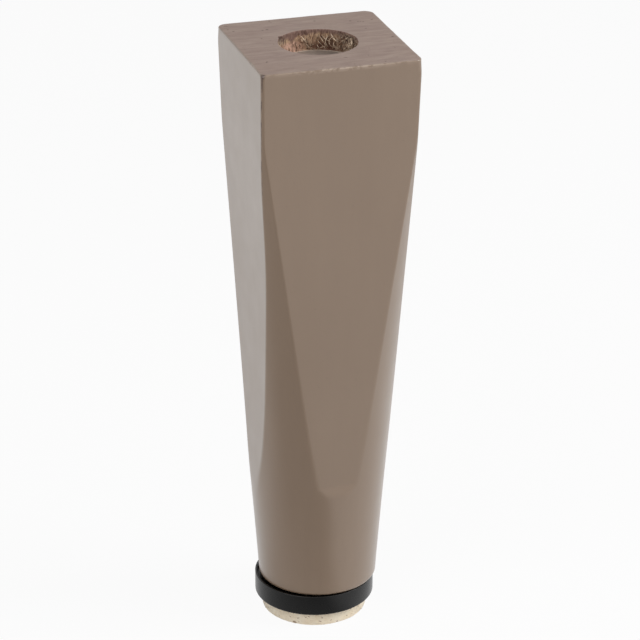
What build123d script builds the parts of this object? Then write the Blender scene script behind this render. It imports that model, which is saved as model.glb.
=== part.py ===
from build123d import *
import math
import os

# A wooden furniture leg: a square blank whose four corners are turned away to a cone, so that
# each flat ends in a long tongue and the foot is round. A recess and a pilot hole in the top
# take the fixing, and a plastic glide with a felt pad is nailed under the foot.
# The origin is on the floor below the leg's axis, +Z is up, and all sizes are millimetres.

# Whole leg
overall_height = 200.0
leg_top_side = 52.0

# Square blank
flat_lean = 1.6           # degrees that each flat leans in towards the foot
arris_radius = 1.5        # softened corners of the blank
top_edge_break = 0.4      # sanded edge round the top face

# Turned surface, measured above the foot's rounded edge and, beyond the blank, at the top
turned_foot_radius = 19.8
turned_head_radius = 38.85
turned_hollow = 1.5       # how far the turned outline dips below a straight cone
turned_bands = 8          # short arcs that make up that outline, so that it facets closely
foot_round = 1.3          # rounded edge where the wood meets the glide

# Fixing holes in the top
recess_diameter = 25.0
recess_depth = 6.8
pilot_diameter = 7.0
pilot_depth = 40.0        # below the floor of the recess

# Glide: a moulded housing, nailed on a little off the leg's axis
glide_offset = -1.1
glide_diameter = 40.0
glide_height = 7.0
glide_edge_break = 0.4
rim_thickness = 0.8       # wall round the dished top
dish_depth = 1.4
hub_diameter = 13.0
pocket_depth = 3.4        # socket for the felt, open downwards
felt_clearance = 0.1

# Nail
nail_diameter = 2.5
nail_head_diameter = 8.0
nail_head_thickness = 1.2
nail_reach = 18.0         # how far the nail goes into the wood
nail_point = 4.0
nail_hole_spare = 1.0     # bored deeper than the nail reaches

# Felt pad
felt_diameter = 35.0
felt_below_glide = 5.2
felt_edge_break = 0.3

# Heights worked out from the sizes above
glide_bottom = felt_below_glide
pocket_top = glide_bottom + pocket_depth
wood_bottom = glide_bottom + glide_height
wood_length = overall_height - wood_bottom
blank_foot_side = leg_top_side - 2 * wood_length * math.tan(math.radians(flat_lean))

# The square blank seen from the front, and the same from the side
blank_outline = [
    (-blank_foot_side / 2, wood_bottom),
    (blank_foot_side / 2, wood_bottom),
    (leg_top_side / 2, overall_height),
    (-leg_top_side / 2, overall_height),
]

# Planes through the axis of the glide: one to draw half sections on, one under the wood
glide_section = Plane(origin=(glide_offset, 0, 0), x_dir=(1, 0, 0), z_dir=(0, -1, 0))
glide_axis = Axis((glide_offset, 0, 0), (0, 0, 1))
under_wood = Plane(origin=(glide_offset, 0, wood_bottom), z_dir=(0, 0, -1))

os.makedirs("parts", exist_ok=True)


# Leg body
with BuildPart() as leg_body:
    # Square blank, sawn to a taper from two sides so that its flats lean in to the foot
    with BuildSketch(Plane.XZ):
        with BuildLine():
            Polyline(blank_outline, close=True)
        make_face()
    extrude(amount=leg_top_side / 2, both=True)
    with BuildSketch(Plane.YZ):
        with BuildLine():
            Polyline(blank_outline, close=True)
        make_face()
    extrude(amount=leg_top_side / 2, both=True, mode=Mode.INTERSECT)
    fillet(leg_body.edges().group_by(Axis.Z)[1], arris_radius)
    chamfer(leg_body.faces().sort_by(Axis.Z)[-1].edges(), top_edge_break)

    # Turning takes the corners away and leaves a round foot with a rounded edge
    with BuildSketch(Plane.XZ):
        with BuildLine():
            outline = SagittaArc(
                (turned_foot_radius, wood_bottom + foot_round),
                (turned_head_radius, overall_height),
                turned_hollow,
                mode=Mode.PRIVATE,
            )
            band_ends = [outline @ (band / turned_bands) for band in range(turned_bands + 1)]
            for lower, upper in zip(band_ends, band_ends[1:]):
                SagittaArc(lower, upper, turned_hollow / turned_bands**2)
            foot_edge = Bezier(
                (turned_foot_radius - foot_round, wood_bottom),
                (turned_foot_radius, wood_bottom),
                outline @ 0,
            )
            Polyline(
                outline @ 1,
                (0, overall_height),
                (0, wood_bottom),
                foot_edge @ 0,
            )
        make_face()
    revolve(axis=Axis.Z, mode=Mode.INTERSECT)

    # Recess and pilot hole for the fixing
    with Locations(Plane.XY.offset(overall_height)):
        CounterBoreHole(
            radius=pilot_diameter / 2,
            counter_bore_radius=recess_diameter / 2,
            counter_bore_depth=recess_depth,
            depth=recess_depth + pilot_depth,
        )

    # Hole that the glide's nail fills
    with Locations(under_wood):
        Hole(radius=nail_diameter / 2, depth=nail_reach + nail_hole_spare)


# Glide housing: a moulded disc with a dished top and a socket for the felt below
with BuildPart() as glide_housing:
    with BuildSketch(glide_section):
        with BuildLine():
            Polyline(
                (nail_diameter / 2, wood_bottom),
                (hub_diameter / 2, wood_bottom),
                (hub_diameter / 2, wood_bottom - dish_depth),
                (glide_diameter / 2 - rim_thickness, wood_bottom - dish_depth),
                (glide_diameter / 2 - rim_thickness, wood_bottom),
                (glide_diameter / 2, wood_bottom),
                (glide_diameter / 2, glide_bottom),
                (felt_diameter / 2 + felt_clearance, glide_bottom),
                (felt_diameter / 2 + felt_clearance, pocket_top),
                (nail_head_diameter / 2, pocket_top),
                (nail_head_diameter / 2, pocket_top + nail_head_thickness),
                (nail_diameter / 2, pocket_top + nail_head_thickness),
                close=True,
            )
        make_face()
    revolve(axis=glide_axis)

    outer_wall = glide_housing.faces().filter_by(GeomType.CYLINDER).sort_by(SortBy.AREA)[-1]
    chamfer(outer_wall.edges().filter_by(GeomType.CIRCLE), glide_edge_break)


# Nail, its flat head let into the housing above the felt
with BuildPart() as glide_nail:
    with BuildSketch(glide_section):
        with BuildLine():
            Polyline(
                (0, pocket_top),
                (nail_head_diameter / 2, pocket_top),
                (nail_head_diameter / 2, pocket_top + nail_head_thickness),
                (nail_diameter / 2, pocket_top + nail_head_thickness),
                (nail_diameter / 2, wood_bottom + nail_reach - nail_point),
                (0, wood_bottom + nail_reach),
                close=True,
            )
        make_face()
    revolve(axis=glide_axis)


# Felt pad, seated in the socket and standing out below it
with BuildPart() as felt_pad:
    with BuildSketch(Plane.XY):
        with Locations((glide_offset, 0)):
            Circle(felt_diameter / 2)
    extrude(amount=pocket_top)
    chamfer(felt_pad.edges().filter_by(GeomType.CIRCLE).sort_by(Axis.Z)[0], felt_edge_break)


leg_body.part.label = "leg_body"
glide_housing.part.label = "glide_housing"
glide_nail.part.label = "glide_nail"
felt_pad.part.label = "felt_pad"

export_step(leg_body.part, "parts/leg_body.step")
export_step(glide_housing.part, "parts/glide_housing.step")
export_step(glide_nail.part, "parts/glide_nail.step")
export_step(felt_pad.part, "parts/felt_pad.step")
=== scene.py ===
import math

import bpy
import numpy as np
from mathutils import Matrix, Vector


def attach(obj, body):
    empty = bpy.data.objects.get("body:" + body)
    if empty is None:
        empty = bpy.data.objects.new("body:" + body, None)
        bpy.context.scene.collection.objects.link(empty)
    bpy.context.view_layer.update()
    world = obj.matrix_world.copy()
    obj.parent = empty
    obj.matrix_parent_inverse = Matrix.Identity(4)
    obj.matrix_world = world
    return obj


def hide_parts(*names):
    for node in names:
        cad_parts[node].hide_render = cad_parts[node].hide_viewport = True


# A painted wooden furniture leg, square at the top and round at the foot, with a torn recess in
# its top and a black plastic glide with a felt pad under its foot. Sizes below are millimetres
# unless a name says otherwise; every mesh is scaled to metres when it is made.

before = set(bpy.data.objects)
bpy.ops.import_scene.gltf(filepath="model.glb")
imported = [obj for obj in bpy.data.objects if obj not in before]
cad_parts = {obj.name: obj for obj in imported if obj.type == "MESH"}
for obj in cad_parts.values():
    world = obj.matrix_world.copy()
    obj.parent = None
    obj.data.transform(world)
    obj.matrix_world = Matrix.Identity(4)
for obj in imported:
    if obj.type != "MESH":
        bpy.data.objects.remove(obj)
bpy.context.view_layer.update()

MM = 0.001

# ---------------------------------------------------------------- sizes shared with the CAD model

HEIGHT = 200.0
WOOD_BOTTOM = 12.2
TOP_HALF_SIDE = 26.0
FLAT_LEAN = math.radians(1.6)
FOOT_RADIUS = 19.8
HEAD_RADIUS = 38.85
HOLLOW = 1.5
FOOT_ROUND = 1.3
RECESS_RADIUS = 12.5
RECESS_DEPTH = 6.8
PILOT_RADIUS = 3.5
PILOT_DEPTH = 40.0
GLIDE_OFFSET = -1.1
GLIDE_RADIUS = 20.0
GLIDE_BOTTOM = 5.2
RIM_THICKNESS = 0.8
DISH_DEPTH = 1.4
HUB_RADIUS = 6.5
SOCKET_RADIUS = 17.6
SOCKET_TOP = 8.6
NAIL_RADIUS = 1.25
NAIL_HEAD_RADIUS = 4.0
NAIL_HEAD_TOP = 9.8
NAIL_HOLE_DEPTH = 19.0
FELT_RADIUS = 17.5
FELT_EDGE_BREAK = 0.3

# ------------------------------------------------------------------------------- seeded 3-D noise


def lattice(ix, iy, iz, seed):
    """A repeatable number from -1 to 1 for each whole-number point."""
    n = (ix * 374761393 + iy * 668265263 + iz * 2147483647 + seed * 1274126177) & 0xFFFFFFFF
    n = ((n ^ (n >> 13)) * 1274126177) & 0xFFFFFFFF
    n = n ^ (n >> 16)
    return (n & 0xFFFF) / 32767.5 - 1.0


def noise(points, cell, seed):
    """Smooth noise from -1 to 1 at points (n, 3); cell is the size of one lump along x, y, z."""
    p = np.asarray(points, float) / np.asarray(cell, float)
    base = np.floor(p)
    f = p - base
    f = f * f * (3 - 2 * f)
    ix, iy, iz = (base[..., k].astype(np.int64) for k in range(3))
    total = 0.0
    for dx in (0, 1):
        wx = f[..., 0] if dx else 1 - f[..., 0]
        for dy in (0, 1):
            wy = f[..., 1] if dy else 1 - f[..., 1]
            for dz in (0, 1):
                wz = f[..., 2] if dz else 1 - f[..., 2]
                total = total + wx * wy * wz * lattice(ix + dx, iy + dy, iz + dz, seed)
    return total


def rough_noise(points, cell, seed, octaves=3):
    """Several octaves of noise, each half as large and half as strong."""
    cell = np.asarray(cell, float)
    total, strength = 0.0, 1.0
    for k in range(octaves):
        total = total + strength * noise(points, cell / 2**k, seed + 17 * k)
        strength *= 0.5
    return total / 1.75


def ring_points(angle, height, radius=10.0):
    """Points on a cylinder, so that noise closes round a ring."""
    return np.stack([radius * np.cos(angle), radius * np.sin(angle), height + 0 * angle], -1)


def bump_at(angle, centre_deg, width_deg):
    """A bell of height 1 at an angle round the axis."""
    d = np.angle(np.exp(1j * (angle - math.radians(centre_deg))))
    return np.exp(-((d / math.radians(width_deg)) ** 2))


# --------------------------------------------------------------------------------- mesh building


def new_object(name, verts, faces, material_of_face, materials):
    """A smooth-shaded mesh object from verts in millimetres; material_of_face may be None."""
    mesh = bpy.data.meshes.new(name)
    mesh.from_pydata((np.asarray(verts, float) * MM).tolist(), [], faces)
    for mat in materials:
        mesh.materials.append(mat)
    if material_of_face is not None:
        mesh.polygons.foreach_set("material_index", np.asarray(material_of_face, np.int32))
    mesh.polygons.foreach_set("use_smooth", np.full(len(mesh.polygons), True))
    mesh.validate()
    mesh.update()
    obj = bpy.data.objects.new(name, mesh)
    bpy.context.scene.collection.objects.link(obj)
    return obj


def strip(rows, slots):
    """Faces that join rows of equal length, each row a closed ring; slots gives the material of
    each band between two rows. Both ends are closed with a fan round their middle."""
    count = len(rows[0])
    verts = [p for row in rows for p in row]
    faces, mats = [], []
    for r in range(len(rows) - 1):
        a, b = r * count, (r + 1) * count
        for k in range(count):
            n = (k + 1) % count
            faces.append((a + k, a + n, b + n, b + k))
            mats.append(slots[r])
    first_centre, last_centre = len(verts), len(verts) + 1
    verts += [np.mean(rows[0], axis=0), np.mean(rows[-1], axis=0)]
    last = (len(rows) - 1) * count
    for k in range(count):
        faces.append((first_centre, (k + 1) % count, k))
        mats.append(slots[0])
    for k in range(count):
        faces.append((last_centre, last + k, last + (k + 1) % count))
        mats.append(slots[-1])
    return verts, faces, mats


def tube(points, radii, sides=6, flatten=1.0, first_side=(0, 0, 1)):
    """A closed tapered tube along points; flatten below 1 makes a splinter of it. first_side is
    any direction that the tube doesn't run along."""
    points = np.asarray(points, float)
    tangents = np.gradient(points, axis=0)
    tangents /= np.linalg.norm(tangents, axis=1)[:, None]
    rows = []
    for p, t, r in zip(points, tangents, radii):
        side = np.cross(t, first_side)
        side /= max(np.linalg.norm(side), 1e-9)
        other = np.cross(t, side)
        turn = np.linspace(0, 2 * math.pi, sides, endpoint=False)
        rows.append(
            p + r * (np.cos(turn)[:, None] * side + flatten * np.sin(turn)[:, None] * other)
        )
    return strip(rows, [0] * (len(rows) - 1))


def joined(parts):
    """Several (verts, faces, mats) as one."""
    verts, faces, mats = [], [], []
    for v, f, m in parts:
        start = len(verts)
        verts += list(v)
        faces += [tuple(i + start for i in face) for face in f]
        mats += m
    return verts, faces, mats


# ------------------------------------------------------------------------- the leg's cross-section

RISE = HEIGHT - WOOD_BOTTOM - FOOT_ROUND
CHORD = math.hypot(HEAD_RADIUS - FOOT_RADIUS, RISE)
ARC_RADIUS = (CHORD**2 / 4 + HOLLOW**2) / (2 * HOLLOW)
ARC_SIDE = np.array([RISE, -(HEAD_RADIUS - FOOT_RADIUS)]) / CHORD
ARC_CENTRE = (
    np.array([(HEAD_RADIUS + FOOT_RADIUS) / 2, (HEIGHT + WOOD_BOTTOM + FOOT_ROUND) / 2])
    + (ARC_RADIUS - HOLLOW) * ARC_SIDE
)

# Corners of the blank as (x side, y side, rounding down the leg, rounding at the very top), at
# 45, 135, 225 and 315 degrees; the top's is knocked rounder over this reach
CORNERS = ((1, 1, 1.6, 3.0), (-1, 1, 1.5, 3.0), (-1, -1, 1.1, 1.3), (1, -1, 0.9, 2.2))
KNOCKED_REACH = 3.0

# Softness of the crease between a flat and the turned surface, and the wood's slight waves,
# which are sunk far enough to stay inside the nominal surface
CREASE_SOFTNESS = 0.35
WAVE, WAVE_SUNK = 0.04, 0.05


def turned_radius(z):
    """Radius of the turned surface at height z."""
    return ARC_CENTRE[0] - math.sqrt(ARC_RADIUS**2 - (z - ARC_CENTRE[1]) ** 2)


# Each flat rises by this much and runs out at this height, where the cutter left it: bluntly,
# but the left one softly
RUN_OUT = 52.2
RUN_OUT_LENGTH = 5.0
SOFT_RUN_OUT_LENGTH = 28.0
RUN_OUT_RISE = 0.75

# The left flat was sanded deeper along its near edge, most at this height, and left standing
# almost upright there over this much of its top: 0 keeps the flat's lean and 1 is upright
SANDED_DEPTH = 1.15
SANDED_MIDDLE, SANDED_REACH = 104.0, 42.0
UPRIGHT_SHARE, UPRIGHT_LENGTH = 0.9, 38.0


def run_out(z, length):
    """How far a flat has risen towards the turned surface at height z."""
    share = min(max((RUN_OUT + length / 2 - z) / length, 0.0), 1.0)
    return RUN_OUT_RISE * share * share * (3 - 2 * share)


def section(z, angle):
    """Distance of the wood's surface from the axis at height z."""
    half = TOP_HALF_SIDE - math.tan(FLAT_LEAN) * (HEIGHT - z)
    c, s = np.cos(angle), np.sin(angle)
    on_left = -c >= np.abs(s)
    risen = np.where(on_left, run_out(z, SOFT_RUN_OUT_LENGTH), run_out(z, RUN_OUT_LENGTH))
    sanded = SANDED_DEPTH * math.exp(-(((z - SANDED_MIDDLE) / SANDED_REACH) ** 4))
    upright = UPRIGHT_SHARE * math.exp(-(((HEIGHT - z) / UPRIGHT_LENGTH) ** 4))
    inward = sanded - upright * (TOP_HALF_SIDE - half)
    slant = inward / (2 * half)
    left = (half + risen - inward / 2) / np.maximum(-c - slant * s, 0.05)
    others = (half + risen) / np.maximum(np.maximum(c, np.abs(s)), 0.05)
    flat = np.minimum(left, others)
    knocked = math.exp(-((HEIGHT - z) / KNOCKED_REACH) ** 2)
    for sx, sy, low_arris, top_arris in CORNERS:
        arris = low_arris + (top_arris - low_arris) * knocked
        half_x = half - inward if sx == sy == -1 else half
        cx, cy = sx * (half_x - arris), sy * (half - arris)
        x, y = flat * c, flat * s
        at_corner = (x * sx > half_x - arris) & (y * sy > half - arris)
        across = c * cy - s * cx
        rounded = c * cx + s * cy + np.sqrt(np.maximum(arris**2 - across**2, 0))
        flat = np.where(at_corner, rounded, flat)
    cone = turned_radius(z)
    gap = np.abs(flat - cone)
    soft = np.maximum(CREASE_SOFTNESS - gap, 0) / CREASE_SOFTNESS
    wave = WAVE * noise(ring_points(angle, z, 24.0), (14, 14, 30), 5) - WAVE_SUNK
    return np.minimum(flat, cone) - CREASE_SOFTNESS * soft**2 / 4 + wave


# Mesh columns round the leg, how strongly they gather where the outline turns, and the angles
# and the smoothing with which that is measured
COLUMNS = 320
TURN_SHARE = 0.6
FINE = np.linspace(0, 2 * math.pi, 4096, endpoint=False) + math.pi / 2
SMOOTHED_OVER = 25


def column_angles(z):
    """Angles of the mesh columns: closer together where the outline turns."""
    r = section(z, FINE)
    p = np.stack([r * np.cos(FINE), r * np.sin(FINE)], -1)
    edge = np.roll(p, -1, axis=0) - p
    length = np.linalg.norm(edge, axis=1)
    heading = np.arctan2(edge[:, 1], edge[:, 0])
    turn = np.abs(np.angle(np.exp(1j * (heading - np.roll(heading, 1)))))
    kernel = np.ones(SMOOTHED_OVER) / SMOOTHED_OVER
    side = SMOOTHED_OVER // 2
    turn = np.convolve(np.concatenate([turn[-side:], turn, turn[:side]]), kernel, "valid")
    weight = length / length.sum() + TURN_SHARE * turn / turn.sum()
    total = np.concatenate([[0], np.cumsum(weight)])
    wanted = np.linspace(0, total[-1], COLUMNS, endpoint=False)
    return np.interp(wanted, total, np.append(FINE, FINE[0] + 2 * math.pi))


def outline(z, angle, inset=0.0, height=None):
    """The section at height z as points, drawn in by inset, and at another height if given."""
    r = section(z, angle) - inset
    up = z + 0 * angle if height is None else height
    return np.stack([r * np.cos(angle), r * np.sin(angle), up], -1)


# ------------------------------------------------------------------------------------- materials


def colour(r, g, b):
    """A colour given in 0-255 screen values, as the shader wants it."""
    def linear(v):
        v /= 255
        return v / 12.92 if v <= 0.04045 else ((v + 0.055) / 1.055) ** 2.4
    return (linear(r), linear(g), linear(b), 1.0)


class Shader:
    """A node material with a Principled shader and short calls for the nodes used here."""

    def __init__(self, name):
        self.material = bpy.data.materials.new(name)
        self.material.use_nodes = True
        self.tree = self.material.node_tree
        self.tree.nodes.clear()
        self.surface = self.tree.nodes.new("ShaderNodeBsdfPrincipled")
        self.output = self.tree.nodes.new("ShaderNodeOutputMaterial")
        self.tree.links.new(self.surface.outputs[0], self.output.inputs[0])
        self.place = self.tree.nodes.new("ShaderNodeTexCoord").outputs["Object"]

    def put(self, socket, value):
        """Link value to the socket if it is an output, else set it."""
        if hasattr(value, "is_output"):
            self.tree.links.new(value, socket)
        else:
            socket.default_value = value

    def stretched(self, scale):
        node = self.tree.nodes.new("ShaderNodeMapping")
        self.tree.links.new(self.place, node.inputs["Vector"])
        node.inputs["Scale"].default_value = scale
        return node.outputs[0]

    def noise(self, per_metre, detail, rough, distort=0.0, stretch=None):
        """Noise from 0 to 1; stretch below 1 draws its lumps out along that axis."""
        node = self.tree.nodes.new("ShaderNodeTexNoise")
        where = self.stretched(stretch) if stretch else self.place
        self.tree.links.new(where, node.inputs["Vector"])
        node.inputs["Scale"].default_value = per_metre
        node.inputs["Detail"].default_value = detail
        node.inputs["Roughness"].default_value = rough
        node.inputs["Distortion"].default_value = distort
        return node.outputs["Fac"]

    def ramp(self, value, *stops):
        """stops are (position, number) or (position, colour)."""
        node = self.tree.nodes.new("ShaderNodeValToRGB")
        self.tree.links.new(value, node.inputs[0])
        elements = node.color_ramp.elements
        while len(elements) < len(stops):
            elements.new(0.5)
        for element, (position, shade) in zip(elements, stops):
            element.position = position
            element.color = shade if isinstance(shade, tuple) else (shade, shade, shade, 1)
        return node.outputs[0]

    def mix(self, share, first, second):
        """The first colour where share is 0, the second where it is 1."""
        node = self.tree.nodes.new("ShaderNodeMix")
        node.data_type = "RGBA"
        self.put(node.inputs["Factor"], share)
        self.put(node.inputs["A"], first)
        self.put(node.inputs["B"], second)
        return node.outputs["Result"]

    def maths(self, kind, first, second=0.0, third=0.0):
        node = self.tree.nodes.new("ShaderNodeMath")
        node.operation = kind
        for socket, value in zip(node.inputs, (first, second, third)):
            self.put(socket, value)
        return node.outputs[0]

    def attribute(self, name):
        """A number that the mesh carries at each vertex."""
        node = self.tree.nodes.new("ShaderNodeAttribute")
        node.attribute_name = name
        return node.outputs["Fac"]

    def spots(self, *spots):
        """1 inside any of the spots (x, y, radius in millimetres) on the top face, else 0."""
        total = 0.0
        for x, y, radius in spots:
            away = self.tree.nodes.new("ShaderNodeVectorMath")
            away.operation = "DISTANCE"
            self.tree.links.new(self.place, away.inputs[0])
            away.inputs[1].default_value = (x * MM, y * MM, HEIGHT * MM)
            near = self.maths("MULTIPLY", away.outputs["Value"], 1 / (radius * MM))
            total = self.maths("MAXIMUM", total, self.ramp(near, (0.6, 1.0), (1.0, 0.0)))
        return total

    def bump(self, height, distance_mm, strength, below=None):
        node = self.tree.nodes.new("ShaderNodeBump")
        node.inputs["Strength"].default_value = strength
        node.inputs["Distance"].default_value = distance_mm * MM
        self.tree.links.new(height, node.inputs["Height"])
        if below is not None:
            self.tree.links.new(below, node.inputs["Normal"])
        return node.outputs[0]

    def finish(self, base, roughness, normal, **sockets):
        """The material, with the shader's sockets set; sockets are named with _ for a space."""
        self.put(self.surface.inputs["Base Color"], base)
        self.put(self.surface.inputs["Roughness"], roughness)
        self.put(self.surface.inputs["Normal"], normal)
        for name, value in sockets.items():
            self.put(self.surface.inputs[name.replace("_", " ")], value)
        return self.material


def lacquer_material():
    """Satin grey-brown lacquer, paler in stretches along its top edge, and a dark line down one
    corner: painted shade of its rounding, with dark specks.
    """
    m = Shader("lacquer")
    cloud = m.noise(28, 2.0, 0.5, stretch=(1, 1, 0.45))
    fine = m.noise(260, 3.0, 0.6, stretch=(1, 1, 0.12))
    speck = m.noise(900, 2.0, 0.6)
    tone = m.mix(m.ramp(cloud, (0.3, 0.0), (0.7, 1.0)), colour(131, 110, 91), colour(136, 115, 96))
    tone = m.mix(m.ramp(fine, (0.35, 0.0), (0.65, 0.22)), tone, colour(127, 106, 88))
    tone = m.mix(m.ramp(speck, (0.66, 0.0), (0.72, 0.12)), tone, colour(102, 84, 70))
    breaks = m.noise(420, 3.0, 0.65, stretch=(1, 1, 1.5))
    pale = m.maths("MULTIPLY", m.attribute("pale_edge"), m.ramp(breaks, (0.42, 0.0), (0.52, 1.0)))
    tone = m.mix(pale, tone, colour(184, 164, 147))
    # A dark brown line down the near-left corner and round its top: painted shade of the rounded
    # corner, broken up with real dark specks
    specks_and_shade = m.noise(700, 3.0, 0.7, stretch=(1, 1, 0.5))
    dark = m.maths("MULTIPLY", m.attribute("dark_edge"), m.ramp(specks_and_shade, (0.44, 0.0), (0.55, 1.0)))
    tone = m.mix(dark, tone, colour(78, 56, 46))
    gloss = m.ramp(m.noise(120, 2.0, 0.5), (0.3, 0.31), (0.7, 0.37))
    peel = m.noise(1400, 2.0, 0.5)
    grain = m.noise(520, 3.0, 0.6, stretch=(1, 1, 0.05))
    normal = m.bump(peel, 0.012, 0.5)
    normal = m.bump(grain, 0.03, 0.5, normal)
    return m.finish(
        tone, gloss, normal, IOR=1.5, Coat_Weight=0.65, Coat_Roughness=0.3, Coat_IOR=1.5
    )


def end_grain_material():
    """Stained end of the wood: soft streaks along the saw cut and a few dark specks."""
    m = Shader("stained_end")
    streak = m.noise(150, 3.0, 0.6, 0.3, stretch=(0.25, 1.6, 1))
    cloud = m.noise(70, 3.0, 0.6)
    pores = m.noise(1500, 2.0, 0.6)
    streaks = m.ramp(streak, (0.32, 0.0), (0.68, 1.0))
    tone = m.mix(streaks, colour(149, 126, 116), colour(168, 147, 134))
    tone = m.mix(m.ramp(cloud, (0.35, 0.0), (0.7, 0.5)), tone, colour(150, 127, 114))
    tone = m.mix(m.ramp(pores, (0.62, 0.0), (0.72, 0.25)), tone, colour(116, 98, 86))
    saw = m.noise(430, 3.0, 0.65, stretch=(0.35, 1.6, 1))
    tone = m.mix(m.ramp(saw, (0.36, 0.36), (0.5, 0.0)), tone, colour(128, 106, 97))
    tone = m.mix(m.ramp(saw, (0.58, 0.0), (0.7, 0.35)), tone, colour(182, 162, 148))
    specks = m.noise(400, 2.0, 0.5)
    tone = m.mix(m.ramp(specks, (0.69, 0.0), (0.74, 0.7)), tone, colour(90, 70, 60))
    marks = m.spots(
        (5.1, 20.3, 0.45), (16.1, 17.1, 0.5), (18.3, 15.9, 0.4), (19.8, 15.1, 0.4),
        (-11.9, 16.3, 0.6), (-13.4, 16.1, 0.45), (-22.6, 17.6, 0.5), (-23.9, 19.7, 0.4),
    )
    tone = m.mix(m.maths("MULTIPLY", marks, 0.75), tone, colour(92, 72, 62))
    breaks = m.noise(420, 3.0, 0.65, stretch=(1, 1, 1.5))
    pale = m.maths("MULTIPLY", m.attribute("pale_edge"), m.ramp(breaks, (0.42, 0.0), (0.52, 1.0)))
    tone = m.mix(pale, tone, colour(188, 168, 152))
    normal = m.bump(streak, 0.06, 0.5)
    normal = m.bump(pores, 0.03, 0.5, normal)
    return m.finish(tone, 0.5, normal, IOR=1.45)


def torn_wood_material():
    """Inside of the recess: stain runs in from the mouth, below it the wood is bare and torn; its
    gaps, deep tears and the foot of the far wall carry painted shade.
    """
    m = Shader("torn_wood")
    fibre = m.noise(900, 4.0, 0.7, 1.0, stretch=(1, 1, 0.3))
    shaded_gaps = m.noise(1300, 3.0, 0.65, 0.8, stretch=(1, 1, 0.28))
    patch = m.noise(330, 3.0, 0.6, 0.6)
    lumps = m.noise(1000, 3.0, 0.7)
    pale_fibre = m.ramp(fibre, (0.35, 0.0), (0.62, 1.0))
    tone = m.mix(pale_fibre, colour(120, 88, 70), colour(224, 192, 158))
    tone = m.mix(m.ramp(patch, (0.45, 0.0), (0.62, 0.5)), tone, colour(172, 134, 106))
    tone = m.mix(m.attribute("tan_zone"), tone, colour(212, 172, 150))
    # The gaps between the torn fibres are real; their nearly black colour is painted shade
    tone = m.mix(m.ramp(shaded_gaps, (0.38, 0.85), (0.48, 0.0)), tone, colour(70, 45, 33))
    # Painted shade, a dark reddish brown, low on the far wall by the floor and on the wall's right
    # side
    shade = m.maths("MULTIPLY", m.attribute("dark_zone"), m.ramp(patch, (0.3, 0.55), (0.6, 1.0)))
    tone = m.mix(shade, tone, colour(92, 56, 42))
    stain = m.maths("MULTIPLY", m.attribute("stain"), m.ramp(fibre, (0.25, 0.75), (0.6, 1.0)))
    between = m.ramp(shaded_gaps, (0.4, 0.0), (0.6, 1.0))
    tone = m.mix(stain, tone, m.mix(between, colour(108, 82, 74), colour(136, 108, 98)))
    mottles = m.ramp(lumps, (0.42, 0.0), (0.52, 1.0))
    mottle = m.mix(mottles, colour(70, 52, 44), colour(172, 152, 132))
    tone = m.mix(m.attribute("mottled"), tone, mottle)
    # Painted shade in the deeply torn pockets of the wall and in the notch at the rim
    tone = m.mix(m.attribute("deep"), tone, colour(52, 36, 28))
    normal = m.bump(fibre, 0.3, 0.9)
    return m.finish(tone, 0.72, normal, IOR=1.4)


def recess_floor_material():
    """Cut floor of the recess, with a painted highlight round its edge."""
    m = Shader("recess_floor")
    swirl = m.noise(260, 3.0, 0.6, 0.8)
    swirls = m.ramp(swirl, (0.3, 0.0), (0.7, 1.0))
    tone = m.mix(swirls, colour(148, 134, 124), colour(166, 152, 142))
    # Painted highlight along the floor's edge
    tone = m.mix(m.attribute("pale_edge"), tone, colour(238, 224, 206))
    normal = m.bump(swirl, 0.1, 0.5)
    return m.finish(tone, 0.6, normal, IOR=1.45)


def bored_wood_material():
    """Bare wood of the bored holes and the underside."""
    m = Shader("bored_wood")
    ring = m.noise(700, 3.0, 0.6, stretch=(1, 1, 3))
    tone = m.mix(m.ramp(ring, (0.3, 0.0), (0.7, 1.0)), colour(120, 88, 62), colour(168, 132, 100))
    return m.finish(tone, 0.75, m.bump(ring, 0.1, 0.6), IOR=1.4)


def fibre_material():
    """Loose fibres, pale with darker stretches."""
    m = Shader("torn_fibre")
    along = m.noise(650, 3.0, 0.6)
    pale = m.ramp(along, (0.36, 0.0), (0.6, 1.0))
    tone = m.mix(pale, colour(140, 106, 80), colour(242, 220, 194))
    return m.finish(tone, 0.6, m.bump(along, 0.05, 0.5), IOR=1.4)


def plastic_material():
    """Satin black plastic with a little dust."""
    m = Shader("moulded_black")
    grain = m.noise(1800, 3.0, 0.6)
    cloud = m.noise(120, 2.0, 0.5)
    tone = m.mix(m.ramp(cloud, (0.3, 0.0), (0.7, 1.0)), colour(6, 6, 6), colour(9, 8, 8))
    dust = m.noise(2600, 2.0, 0.6)
    tone = m.mix(m.ramp(dust, (0.72, 0.0), (0.78, 0.1)), tone, colour(120, 116, 112))
    gloss = m.ramp(grain, (0.3, 0.24), (0.7, 0.32))
    return m.finish(tone, gloss, m.bump(grain, 0.004, 0.4), IOR=1.42)


def felt_material():
    """Pale pressed felt with brown flecks."""
    m = Shader("pressed_felt")
    fibre = m.noise(1600, 4.0, 0.7, 1.5)
    cloud = m.noise(220, 3.0, 0.6)
    fleck = m.noise(600, 2.0, 0.6, 0.3, stretch=(1, 1, 1.4))
    clouds = m.ramp(cloud, (0.3, 0.0), (0.7, 1.0))
    tone = m.mix(clouds, colour(246, 229, 201), colour(251, 240, 219))
    tone = m.mix(m.ramp(fibre, (0.3, 0.2), (0.6, 0.0)), tone, colour(222, 194, 158))
    tone = m.mix(m.ramp(fleck, (0.635, 0.0), (0.69, 0.75)), tone, colour(140, 102, 72))
    return m.finish(tone, 0.95, m.bump(fibre, 0.2, 0.9), Sheen_Weight=0.6, Sheen_Roughness=0.45)


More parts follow.
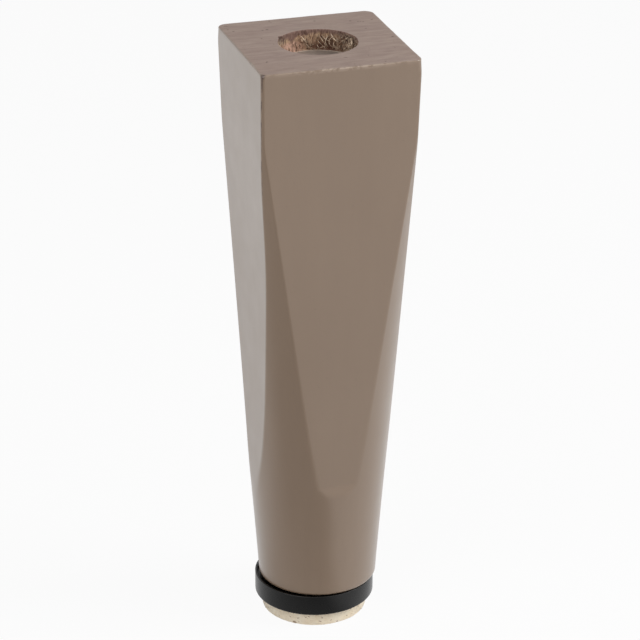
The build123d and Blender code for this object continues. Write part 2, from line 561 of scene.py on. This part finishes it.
def steel_material():
    """Drawn steel of the nail."""
    m = Shader("drawn_steel")
    drawn = m.noise(1500, 3.0, 0.6, stretch=(1, 1, 0.05))
    lines = m.ramp(drawn, (0.3, 0.0), (0.7, 1.0))
    tone = m.mix(lines, colour(150, 150, 152), colour(182, 182, 184))
    gloss = m.ramp(drawn, (0.3, 0.3), (0.7, 0.42))
    return m.finish(tone, gloss, m.bump(drawn, 0.02, 0.4), Metallic=1.0)


# -------------------------------------------------------------------------------- the wooden body


# The top edge is drawn in a band of this height, and no break in it is larger than the second
EDGE_BAND, EDGE_BREAK_MOST = 1.4, 1.3

# Rows of the mesh up the sides and down the wall of the recess, and the depth of the first one
SIDE_ROWS, WALL_ROWS, FIRST_WALL_DEPTH = 236, 28, 0.06


def edge_break(angle):
    """Size of the broken top edge: uneven, with chips at one corner and along one side."""
    ring = ring_points(angle, 0.0, 26.0)
    size = 0.34 + 0.10 * noise(ring, (6, 6, 6), 11) + 0.07 * noise(ring, (1.6, 1.6, 1.6), 12)
    size = size + 0.45 * bump_at(angle, 225.0, 1.4)
    size = size + 0.35 * bump_at(angle, 211.5, 1.2) + 0.3 * bump_at(angle, 207.0, 0.8)
    return size


def mouth_tear(angle, z):
    """How far the recess's wall is torn back into the wood."""
    depth = HEIGHT - z
    ring = ring_points(angle, z, RECESS_RADIUS)
    long_tears = np.abs(rough_noise(ring, (1.3, 1.3, 4.5), 31)) * 0.85
    lumps = np.maximum(rough_noise(ring, (2.6, 2.6, 2.2), 32), 0) * 0.8
    fine = rough_noise(ring, (0.55, 0.55, 1.1), 33) * 0.25
    grow = np.clip(depth / 1.2, 0.0, 1.0)
    shrink = np.clip((RECESS_DEPTH - depth) / 0.5, 0.0, 1.0)
    shrink = shrink * (1 - 0.6 * bump_at(angle, 118.0, 20.0))
    frayed = 0.2 + 0.7 * bump_at(angle, 22.0, 30.0) + 0.3 * bump_at(angle, 140.0, 14.0)
    ragged = frayed * np.abs(rough_noise(ring, (0.7, 0.7, 2.0), 34))
    notch = 0.9 * bump_at(angle, 141.0, 4.2) * np.clip(1 - depth / 4.5, 0, 1)
    return ragged + notch + (long_tears + lumps + fine) * grow * shrink


def build_leg():
    """One mesh from the nail hole out over the foot, up the sides, over the top and down into
    the recess and the pilot hole."""
    rows, slots, marks = [], [], []
    LAC, END, TORN, FLOOR, BORED = range(5)

    def add(row, slot, **mark):
        """A ring of points, the material of the band that leads to it, and its marks."""
        if rows:
            slots.append(slot)
        rows.append(row)
        marks.append(mark)

    # Nail hole and underside, from the hole's end outwards
    foot_angle = column_angles(WOOD_BOTTOM + FOOT_ROUND)
    around = np.linspace(0, 2 * math.pi, COLUMNS, endpoint=False) + math.pi / 2

    def circle(radius, z, x=0.0, tear=0.0):
        r = radius + tear
        return np.stack([x + r * np.cos(around), r * np.sin(around), z + 0 * around], -1)

    add(circle(NAIL_RADIUS, WOOD_BOTTOM + NAIL_HOLE_DEPTH, GLIDE_OFFSET), BORED)
    add(circle(NAIL_RADIUS, WOOD_BOTTOM, GLIDE_OFFSET), BORED)
    bottom = outline(WOOD_BOTTOM + FOOT_ROUND, foot_angle, FOOT_ROUND, WOOD_BOTTOM + 0 * foot_angle)
    inner = rows[-1]
    for share in (0.3, 0.65, 1.0):
        add(inner + (bottom - inner) * share, BORED)

    # Rounded foot
    for step in range(1, 7):
        t = math.radians(90 * step / 6)
        z = WOOD_BOTTOM + FOOT_ROUND * (1 - math.cos(t))
        inset = FOOT_ROUND * (1 - math.sin(t))
        add(outline(WOOD_BOTTOM + FOOT_ROUND, foot_angle, inset, z + 0 * foot_angle), LAC)

    # Sides, up to the broken edge
    for z in np.linspace(WOOD_BOTTOM + FOOT_ROUND, HEIGHT - EDGE_BAND, SIDE_ROWS)[1:]:
        angle = column_angles(z)
        # Dark line down the near-left corner: painted shade of its rounding, with dark specks
        corner = bump_at(angle, 225.0 - 0.07 * (HEIGHT - z), 0.4) * np.clip((z - 145) / 35, 0, 1)
        add(outline(z, angle), LAC, dark_edge=corner)

    # Broken top edge, from the side round to the top face
    angle = column_angles(HEIGHT)
    size = np.minimum(edge_break(angle), EDGE_BREAK_MOST)
    for step in range(5):
        t = math.radians(90 * step / 4)
        z = HEIGHT - size * (1 - math.sin(t))
        inset = size * (1 - math.cos(t))
        # The corner's dark line of painted shade and specks reaches round its top
        corner = bump_at(angle, 225.0, 1.2)
        # The top edge is paler in broken stretches, most along its near side, and at a few chips on
        # the left
        pale_share = 0.12 + 0.88 * bump_at(angle, 270.0, 42.0) ** 2 + 0.5 * bump_at(angle, 209.0, 5.0)
        add(
            outline(HEIGHT, angle, inset, z),
            LAC,
            dark_edge=corner,
            pale_edge=np.clip(pale_share, 0, 1) * (1 - corner) * math.sin(math.pi * (step + 1) / 6),
        )

    # Top face, from its edge in to the mouth of the recess
    edge_row = rows[-1]
    mouth = circle(RECESS_RADIUS, HEIGHT, tear=mouth_tear(around, HEIGHT + 0 * around) + 0.12)
    for share in [step / 16 for step in range(1, 16)] + [0.97, 0.99]:
        row = edge_row + (mouth - edge_row) * share
        add(row, END, pale_edge=0.7 * math.exp(-share / 0.02) + 0 * around)
    add(mouth, END, stain=1 + 0 * around)

    # Wall of the recess
    for step in range(1, WALL_ROWS + 1):
        depth = FIRST_WALL_DEPTH + (RECESS_DEPTH - FIRST_WALL_DEPTH) * step / WALL_ROWS
        z = HEIGHT - depth + 0 * around
        ring = ring_points(around, z, RECESS_RADIUS)
        tear = mouth_tear(around, z)
        level_ring = ring_points(around, 0.0, RECESS_RADIUS)
        stain_end = 1.4 + 1.2 * rough_noise(level_ring, (1.3, 1.3, 9), 41)
        stain_end = stain_end + 1.4 * bump_at(around, 20.0, 26.0)
        stain_end = stain_end + 1.1 * bump_at(around, 116.0, 22.0)
        stain = 1 / (1 + np.exp(-(stain_end - depth) / 0.18))
        patchy = 0.5 + 0.5 * rough_noise(ring, (2.2, 2.2, 1.5), 43)
        tan = 1.2 * bump_at(around, 118.0, 24.0) * np.clip((depth - 2.8) / 1.0, 0, 1)
        # Painted shade in the recess: low on the far wall where it meets the floor, and on the
        # right of the wall
        dark = bump_at(around, 66.0, 22.0) * np.clip((depth - 4.0) / 0.9, 0, 1)
        dark = dark * (0.4 + 0.6 * patchy)
        dark = dark + 0.55 * bump_at(around, 48.0, 30.0) * np.clip((depth - 1.8) / 1.2, 0, 1)
        darker = 0.8 * bump_at(around, 22.0, 13.0) * np.clip((depth - 1.2) / 1.0, 0, 1)
        dark = dark + darker * patchy
        mottled = bump_at(around, 18.0, 24.0) + bump_at(around, 148.0, 12.0)
        mottled = np.clip(0.9 * mottled, 0, 1) * np.clip((depth - 0.2) / 0.6, 0, 1)
        # Painted shade where the wall is torn back deepest, and in the notch at the left of the rim
        deep = np.clip((tear - 0.75) / 0.8, 0, 0.85)
        deep = np.maximum(deep, 0.9 * bump_at(around, 140.0, 2.6) * np.clip(1 - depth / 3.0, 0, 1))
        add(
            circle(RECESS_RADIUS, z, tear=tear),
            TORN,
            stain=stain,
            tan_zone=np.clip(tan, 0, 1),
            dark_zone=np.clip(dark, 0, 1),
            mottled=mottled,
            deep=deep,
        )

    # Floor of the recess, the pilot hole and its end
    floor_z = HEIGHT - RECESS_DEPTH
    # The outer rings of the floor carry a painted highlight along its edge
    floor_rings = (
        (12.3, 0.7), (11.9, 0.7), (11.6, 0.1), (10.5, 0.0), (8.5, 0.0), (6.0, 0.0), (4.2, 0.0),
    )
    for radius, pale in floor_rings:
        rise = 0.05 * noise(ring_points(around, 0.0, radius), (1.4, 1.4, 1.4), 51)
        add(circle(radius, floor_z + rise), FLOOR, pale_edge=pale + 0 * around)
    add(circle(PILOT_RADIUS, floor_z - 0.05), FLOOR)
    for depth in (0.4, 3.0, 10.0, 25.0, PILOT_DEPTH):
        add(circle(PILOT_RADIUS, floor_z - depth), BORED)

    verts, faces, mats = strip(rows, slots)
    materials = [
        lacquer_material(),
        end_grain_material(),
        torn_wood_material(),
        recess_floor_material(),
        bored_wood_material(),
    ]
    leg = new_object("leg_wood", verts, faces, mats, materials)
    for name in ("pale_edge", "dark_edge", "stain", "tan_zone", "dark_zone", "mottled", "deep"):
        values = np.zeros(len(verts), np.float32)
        for k, mark in enumerate(marks):
            if name in mark:
                values[k * COLUMNS:(k + 1) * COLUMNS] = mark[name]
        layer = leg.data.attributes.new(name, "FLOAT", "POINT")
        layer.data.foreach_set("value", values)
    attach(leg, "root")
    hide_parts("leg_body")


# ------------------------------------------------------------------- torn fibres inside the recess


FINE_FIBRES = 210


def wall_point(angle_deg, z, off):
    """A point off the recess's wall by off millimetres towards the axis."""
    a = math.radians(angle_deg)
    r = RECESS_RADIUS - off
    return np.array([r * math.cos(a), r * math.sin(a), z])


def strand(start, end, thickness, bow, lift, steps=9):
    """A fibre torn off the wall: both ends on it, its middle bowed along and lifted off it.
    start and end are (angle, height)."""
    t = np.linspace(0, 1, steps)
    points = []
    for share in t:
        hump = math.sin(math.pi * share)
        angle = start[0] + (end[0] - start[0]) * share + bow * hump
        z = start[1] + (end[1] - start[1]) * share
        points.append(wall_point(angle, z, lift * hump - 0.15))
    radii = 1.6 * thickness * (0.35 + 0.65 * np.sin(math.pi * np.clip(t * 0.9 + 0.08, 0, 1)))
    return tube(points, radii, flatten=0.5)


def build_fibres():
    """The larger strands one by one, many fine ones at random, and a few splinters."""
    parts = [
        strand((97.7, 198.0), (89.0, 195.6), 0.17, 0.5, 0.7),
        strand((101.0, 197.2), (95.5, 195.9), 0.12, -1.0, 0.5),
        strand((71.4, 198.0), (58.6, 194.2), 0.15, -0.6, 0.9),
        strand((53.8, 198.7), (39.5, 196.0), 0.18, 0.0, 0.9),
        strand((24.0, 198.7), (41.5, 195.4), 0.20, 0.6, 1.0),
        strand((57.0, 198.3), (55.5, 193.9), 0.15, 5.0, 0.7),
        strand((51.5, 197.9), (49.5, 194.0), 0.14, 5.0, 0.8),
        strand((46.0, 196.8), (43.5, 193.8), 0.15, 4.0, 0.7),
        strand((34.5, 196.4), (36.0, 193.7), 0.13, 3.0, 0.7),
        strand((17.0, 198.9), (13.0, 196.1), 0.22, -7.0, 0.8),
        strand((8.0, 197.6), (18.0, 195.6), 0.18, 1.0, 0.8),
    ]
    rng = np.random.default_rng(7)
    for k in range(FINE_FIBRES):
        angle = rng.uniform(0, 360)
        if 102 < angle < 138 and k % 3:
            continue
        top = rng.uniform(194.6, 198.6)
        length = rng.uniform(0.8, 2.6)
        lean = rng.normal(0, 8.0)
        parts.append(
            strand(
                (angle, top),
                (angle + lean, max(top - length, 193.5)),
                rng.uniform(0.04, 0.11),
                rng.normal(0, 1.5),
                rng.uniform(0.15, 0.6),
                steps=6,
            )
        )
    # Splinters left on the top face beside the near rim
    splinters = (
        (-0.6, -13.0, -35, 2.2), (0.8, -13.5, 10, 1.5), (4.9, -13.4, 25, 1.6), (13.4, 1.6, 80, 1.4),
    )
    for x, y, turn, length in splinters:
        a = math.radians(turn)
        along = np.array([math.cos(a), math.sin(a), 0.0])
        t = np.linspace(-0.5, 0.5, 6)
        points = [np.array([x, y, HEIGHT - 0.09]) + along * length * s for s in t]
        parts.append(tube(points, 0.09 * np.cos(t * 2.6), flatten=0.8))
    verts, faces, _ = joined(parts)
    fibres = new_object("torn_fibres", verts, faces, None, [fibre_material()])
    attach(fibres, "root")


# ----------------------------------------------------------------------------- glide and felt pad


FELT_HAIRS = 420


def rounded_profile(corners):
    """Profile points from corners (r, z, rounding), each rounding drawn with short steps."""
    out = []
    for k, (r, z, size) in enumerate(corners):
        here = np.array([r, z])
        if size <= 0:
            out.append(here)
            continue
        before = np.array(corners[k - 1][:2]) - here
        after = np.array(corners[(k + 1) % len(corners)][:2]) - here
        start = here + size * before / np.linalg.norm(before)
        end = here + size * after / np.linalg.norm(after)
        for t in np.linspace(0, 1, 6):
            out.append((1 - t) ** 2 * start + 2 * t * (1 - t) * here + t**2 * end)
    return out


def lathe(name, corners, material, segments, shape=None, extra=()):
    """A ring-shaped solid turned from a closed profile round the glide's axis. shape moves the
    points of a row, and extra is more (verts, faces, mats) for the same piece."""
    profile = rounded_profile(corners)
    turn = np.linspace(0, 2 * math.pi, segments, endpoint=False)
    rows = []
    for r, z in profile:
        row = np.stack([GLIDE_OFFSET + r * np.cos(turn), r * np.sin(turn), z + 0 * turn], -1)
        if shape is not None:
            row = shape(row, r, z, turn)
        rows.append(row)
    verts = [p for row in rows for p in row]
    faces = []
    for row in range(len(rows)):
        a, b = row * segments, (row + 1) % len(rows) * segments
        for k in range(segments):
            n = (k + 1) % segments
            faces.append((a + k, b + k, b + n, a + n))
    made = joined([(verts, faces, [0] * len(faces)), *extra])
    return new_object(name, made[0], made[1], None, [material])


def build_glide():
    """The plastic cup: bore, socket for the felt, outer wall, dished top and hub."""
    top = WOOD_BOTTOM
    corners = [
        (NAIL_RADIUS, NAIL_HEAD_TOP, 0),
        (NAIL_HEAD_RADIUS, NAIL_HEAD_TOP, 0),
        (NAIL_HEAD_RADIUS, SOCKET_TOP, 0),
        (SOCKET_RADIUS, SOCKET_TOP, 0.2),
        (SOCKET_RADIUS, GLIDE_BOTTOM, 0.25),
        (GLIDE_RADIUS, GLIDE_BOTTOM, 0.6),
        (GLIDE_RADIUS, top, 0.18),
        (GLIDE_RADIUS - RIM_THICKNESS, top, 0.2),
        (GLIDE_RADIUS - RIM_THICKNESS, top - DISH_DEPTH, 0.4),
        (HUB_RADIUS, top - DISH_DEPTH, 0.4),
        (HUB_RADIUS, top, 0.15),
        (NAIL_RADIUS, top, 0),
    ]
    glide = lathe("glide_cup", corners, plastic_material(), segments=224)
    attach(glide, "root")
    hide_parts("glide_housing")


def build_felt():
    """The felt disc with a fuzzy side and loose hairs on it."""

    def fuzz(row, r, z, turn):
        """Uneven pressed fibres on the part that shows."""
        if z > GLIDE_BOTTOM + 0.2:
            return row
        push = 0.14 * rough_noise(row, (0.7, 0.7, 0.7), 71) - 0.06
        out = np.stack([np.cos(turn), np.sin(turn), 0 * turn], -1)
        moved = row + out * push[:, None]
        moved[:, 2] = np.maximum(moved[:, 2], 0.0)
        return moved

    profile = [(r, 0.0) for r in (0.05, 6.0, 12.0, 16.0)]
    for k in range(5):
        t = math.radians(90 * k / 4)
        inset = FELT_EDGE_BREAK * (1 - math.sin(t))
        profile.append((FELT_RADIUS - inset, FELT_EDGE_BREAK * (1 - math.cos(t))))
    profile += [(FELT_RADIUS, z) for z in np.linspace(0.7, GLIDE_BOTTOM, 12)]
    profile += [(FELT_RADIUS, SOCKET_TOP), (0.05, SOCKET_TOP)]
    corners = [(r, z, 0) for r, z in profile]

    rng = np.random.default_rng(3)
    hairs = []
    for _ in range(FELT_HAIRS):
        a = rng.uniform(0, 2 * math.pi)
        z = rng.uniform(0.5, GLIDE_BOTTOM - 0.3)
        start = np.array([math.cos(a), math.sin(a), 0.0])
        side_way = np.array([-math.sin(a), math.cos(a), 0.0]) * rng.normal(0, 1)
        up_way = np.array([0, 0, 1.0]) * rng.normal(0, 0.6)
        reach, length = rng.uniform(0.12, 0.4), rng.uniform(0.4, 1.3)
        points = []
        for t in np.linspace(0, 1, 5):
            p = start * (FELT_RADIUS - 0.12 + reach * math.sin(math.pi * t * 0.8))
            p = p + (side_way + up_way) * length * (t - 0.5) + np.array([GLIDE_OFFSET, 0, z])
            p[2] = min(max(p[2], 0.12), GLIDE_BOTTOM - 0.05)
            points.append(p)
        hairs.append(tube(points, [0.035] * 4 + [0.012], sides=3, first_side=(0.2, 0.3, 1)))
    felt = lathe("felt_disc", corners, felt_material(), segments=256, shape=fuzz, extra=hairs)
    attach(felt, "root")
    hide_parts("felt_pad")


# ------------------------------------------------------------------------ camera, floor and lights


def build_camera():
    """The photograph's viewpoint, from a camera fitted to the leg's corners and rings."""
    azimuth, elevation, roll = (math.radians(v) for v in (-17.15, 24.305, 0.10))
    distance, focal_pixels, image_pixels = 941.8, 2873.5, 640.0
    shift_right, shift_down = -2.54, 12.63
    back = Vector((
        math.sin(azimuth) * math.cos(elevation),
        -math.cos(azimuth) * math.cos(elevation),
        math.sin(elevation),
    ))
    right = Vector((math.cos(azimuth), math.sin(azimuth), 0.0))
    up = back.cross(right)
    right, up = (
        right * math.cos(roll) + up * math.sin(roll),
        up * math.cos(roll) - right * math.sin(roll),
    )
    camera = bpy.data.objects.new("camera", bpy.data.cameras.new("camera"))
    bpy.context.scene.collection.objects.link(camera)
    place = Vector((0, 0, HEIGHT / 2 * MM)) + back * distance * MM
    turned = Matrix((right, up, back)).transposed().to_4x4()
    camera.matrix_world = Matrix.Translation(place) @ turned
    camera.data.sensor_width = 36.0
    camera.data.lens = focal_pixels * camera.data.sensor_width / image_pixels
    camera.data.shift_x = -shift_right / image_pixels
    camera.data.shift_y = shift_down / image_pixels
    camera.data.clip_start, camera.data.clip_end = 0.05, 20.0
    bpy.context.scene.camera = camera


# How much of the floor's white is its own; the rest is lit, and so it shows the leg's shadow
GLOW_SHARE = 0.93


def seen_directly(tree):
    """1 for rays from the camera or off or through something shiny, else 0."""
    path = tree.nodes.new("ShaderNodeLightPath")
    total = path.outputs["Is Camera Ray"]
    for kind in ("Is Glossy Ray", "Is Transmission Ray"):
        most = tree.nodes.new("ShaderNodeMath")
        most.operation = "MAXIMUM"
        tree.links.new(total, most.inputs[0])
        tree.links.new(path.outputs[kind], most.inputs[1])
        total = most.outputs[0]
    return total


def floor_brightness(m):
    """White for the camera. Shiny surfaces see the studio's floor: dim before the leg, brighter
    to its right, and white behind it on the left."""
    apart = m.tree.nodes.new("ShaderNodeSeparateXYZ")
    m.tree.links.new(m.place, apart.inputs[0])

    def along(axis, per_metre, start, *stops):
        return m.ramp(m.maths("MULTIPLY_ADD", apart.outputs[axis], per_metre, start), *stops)

    behind = along("Y", 14.0, 0.7, (0.0, 0.0), (1.0, 0.7))
    on_left = along("X", -10.0, 0.5, (0.0, 0.6), (1.0, 1.0))
    on_right = along("X", 55.0, 0.1, (0.0, 0.0), (1.0, 0.7))
    mirrored = m.maths("MAXIMUM", m.maths("MULTIPLY", behind, on_left), on_right)
    path = m.tree.nodes.new("ShaderNodeLightPath")
    return m.maths("MAXIMUM", path.outputs["Is Camera Ray"], m.maths("ADD", mirrored, 0.3))


def build_floor():
    """White floor that fills the picture and keeps a faint shadow."""
    size = 3.0
    corners = [(-size, -size, 0), (size, -size, 0), (size, size, 0), (-size, size, 0)]
    mesh = bpy.data.meshes.new("floor")
    mesh.from_pydata(corners, [], [(0, 1, 2, 3)])
    floor = bpy.data.objects.new("floor", mesh)
    bpy.context.scene.collection.objects.link(floor)
    m = Shader("floor_white")
    m.put(m.surface.inputs["Base Color"], colour(238, 238, 238))
    m.put(m.surface.inputs["Roughness"], 0.9)
    glow = m.tree.nodes.new("ShaderNodeEmission")
    m.put(glow.inputs["Strength"], floor_brightness(m))
    share = m.maths("MULTIPLY", seen_directly(m.tree), GLOW_SHARE)
    both = m.tree.nodes.new("ShaderNodeMixShader")
    m.tree.links.new(share, both.inputs[0])
    m.tree.links.new(m.surface.outputs[0], both.inputs[1])
    m.tree.links.new(glow.outputs[0], both.inputs[2])
    m.tree.links.new(both.outputs[0], m.output.inputs[0])
    mesh.materials.append(m.material)


WORLD_STRENGTH = 0.279

# name: (azimuth and elevation in degrees, distance, width and height in metres, watts); the
# lamps point at the middle of the leg
LIGHTS = {
    "left_front": (-55, 30, 1.1, 0.8, 1.0, 5.3),
    "right_front": (35, 30, 1.1, 0.8, 1.0, 2.0),
    "right_middle": (68, 32, 1.1, 0.5, 0.6, 6.7),
}


def build_lights():
    """Three soft lamps, and a dim world that is white where it is seen directly."""
    for name, (azimuth, elevation, distance, width, height, power) in LIGHTS.items():
        a, e = math.radians(azimuth), math.radians(elevation)
        back = Vector((math.sin(a) * math.cos(e), -math.cos(a) * math.cos(e), math.sin(e)))
        lamp = bpy.data.lights.new(name, "AREA")
        lamp.shape = "RECTANGLE"
        lamp.size, lamp.size_y, lamp.energy = width, height, power
        obj = bpy.data.objects.new(name, lamp)
        obj.location = Vector((0, 0, HEIGHT / 2 * MM)) + back * distance
        obj.rotation_mode = "QUATERNION"
        obj.rotation_quaternion = (-back).to_track_quat("-Z", "Y")
        obj.visible_camera = False
        bpy.context.scene.collection.objects.link(obj)

    world = bpy.data.worlds.new("studio")
    bpy.context.scene.world = world
    world.use_nodes = True
    tree = world.node_tree
    tree.nodes.clear()
    out = tree.nodes.new("ShaderNodeOutputWorld")
    plain = tree.nodes.new("ShaderNodeBackground")
    white = tree.nodes.new("ShaderNodeBackground")
    both = tree.nodes.new("ShaderNodeMixShader")
    plain.inputs["Strength"].default_value = WORLD_STRENGTH
    white.inputs["Strength"].default_value = 1.0
    tree.links.new(seen_directly(tree), both.inputs[0])
    tree.links.new(plain.outputs[0], both.inputs[1])
    tree.links.new(white.outputs[0], both.inputs[2])
    tree.links.new(both.outputs[0], out.inputs[0])


# ------------------------------------------------------------------------------------ everything

build_leg()
build_fibres()
build_glide()
build_felt()
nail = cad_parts["glide_nail"]
nail.data.materials.clear()
nail.data.materials.append(steel_material())
build_camera()
build_floor()
build_lights()
bpy.context.scene.view_settings.view_transform = "Standard"
